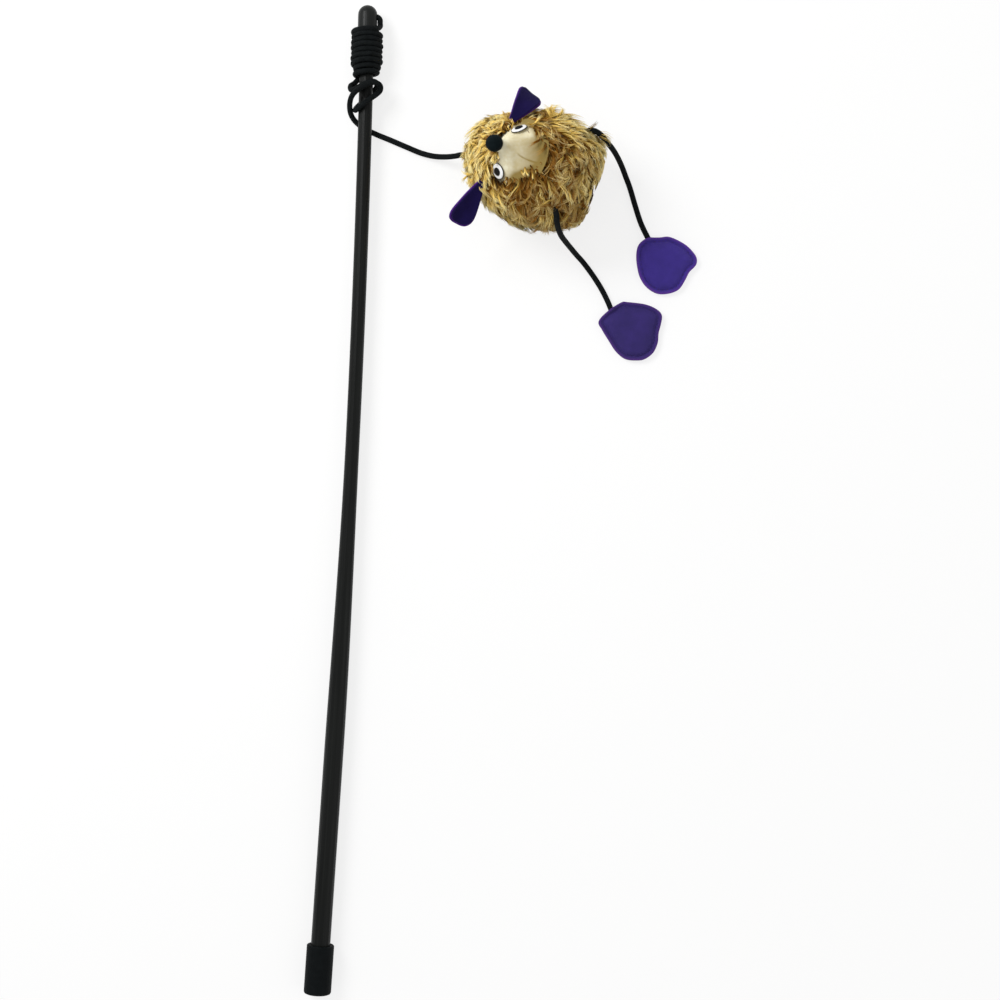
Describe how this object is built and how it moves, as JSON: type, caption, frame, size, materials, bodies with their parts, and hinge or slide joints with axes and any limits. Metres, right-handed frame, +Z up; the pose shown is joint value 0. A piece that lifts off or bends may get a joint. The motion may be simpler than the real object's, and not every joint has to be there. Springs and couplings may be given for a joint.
{
  "type": "cat fishing rod toy",
  "caption": "Cat teaser wand: a slim dark rod with a black elastic cord wound round its tip and a small round plush animal with felt ears and feet on the end of the cord.",
  "frame": {"origin": "centre of the butt cap's flat end face", "axes": "+Y along the straight butt of the rod towards its tip, +Z up from the surface that the toy lies on, +X towards the side where the plush lies"},
  "size_m": [0.1797, 0.4944, 0.0656],
  "materials": {
    "rod_plastic": "satin, slightly fibrous",
    "cap_rubber": "matte",
    "tip_plastic": "satin",
    "elastic_cord": "braided",
    "plush_fur": "long pile",
    "wadding": "loose fibre",
    "velour": "short pile",
    "nose_felt": "felted, matte",
    "eye_white": "felted, smooth",
    "eye_black": "felted, smooth",
    "ear_felt": "felt",
    "ear_lining": "felt",
    "foot_felt": "felt"
  },
  "bodies": {
    "rod": {"rod_tube": "rod_plastic", "butt_cap": "cap_rubber", "tip_cap": "tip_plastic", "tail_knot": "elastic_cord", "cord_tail": "elastic_cord", "tip_winding": "elastic_cord", "hitch_cord": "elastic_cord"},
    "line": {"line_cord": "elastic_cord"},
    "toy": {"fur_pelt": "plush_fur", "pelt_base": "plush_fur", "stuffing": "wadding", "face_panel": "velour", "nose": "nose_felt", "eye_white_left": "eye_white", "eye_white_right": "eye_white", "pupil_left": "eye_black", "pupil_right": "eye_black", "line_knot": "elastic_cord", "leg_knot_left": "elastic_cord", "leg_knot_right": "elastic_cord"},
    "ear_left": {"ear_left_outer": "ear_felt", "ear_left_lining": "ear_lining"},
    "ear_right": {"ear_right_outer": "ear_felt", "ear_right_lining": "ear_lining"},
    "leg_left": {"leg_cord_left": "elastic_cord"},
    "leg_right": {"leg_cord_right": "elastic_cord"},
    "foot_left": {"foot_left_bottom": "foot_felt", "foot_left_top": "foot_felt"},
    "foot_right": {"foot_right_bottom": "foot_felt", "foot_right_top": "foot_felt"}
  },
  "joints": [
    {"name": "line_swing", "type": "hinge", "parent": "rod", "child": "line", "pos_m": [-0.0022, 0.4321, -0.005], "axis": [0, 0, 1], "range_deg": [-25, 45]},
    {"name": "toy_swing", "type": "hinge", "parent": "line", "child": "toy", "pos_m": [0.044, 0.422, 0.0072], "axis": [0, 0, 1], "range_deg": [-15, 30]},
    {"name": "ear_left_flap", "type": "hinge", "parent": "toy", "child": "ear_left", "pos_m": [0.06767, 0.43507, 0.03967], "axis": [-0.8226, 0.553, 0.1325], "range_deg": [-15, 3], "stiffness_Nm_per_rad": 0.002},
    {"name": "ear_right_flap", "type": "hinge", "parent": "toy", "child": "ear_right", "pos_m": [0.05526, 0.4052, 0.03375], "axis": [0.8205, -0.3036, -0.4844], "range_deg": [-15, 15], "stiffness_Nm_per_rad": 0.002},
    {"name": "leg_left_swing", "type": "hinge", "parent": "toy", "child": "leg_left", "pos_m": [0.108, 0.4346, 0.0303], "axis": [0, 0, 1], "range_deg": [-2, 20]},
    {"name": "leg_right_swing", "type": "hinge", "parent": "toy", "child": "leg_right", "pos_m": [0.0919, 0.3906, 0.0404], "axis": [0, 0, 1], "range_deg": [-18, 2]},
    {"name": "foot_left_swing", "type": "hinge", "parent": "leg_left", "child": "foot_left", "pos_m": [0.1393, 0.3896, -0.0043], "axis": [0, 0, 1], "range_deg": [-7, 12]},
    {"name": "foot_right_swing", "type": "hinge", "parent": "leg_right", "child": "foot_right", "pos_m": [0.1228, 0.3529, -0.0043], "axis": [0, 0, 1], "range_deg": [-12, 5]}
  ]
}
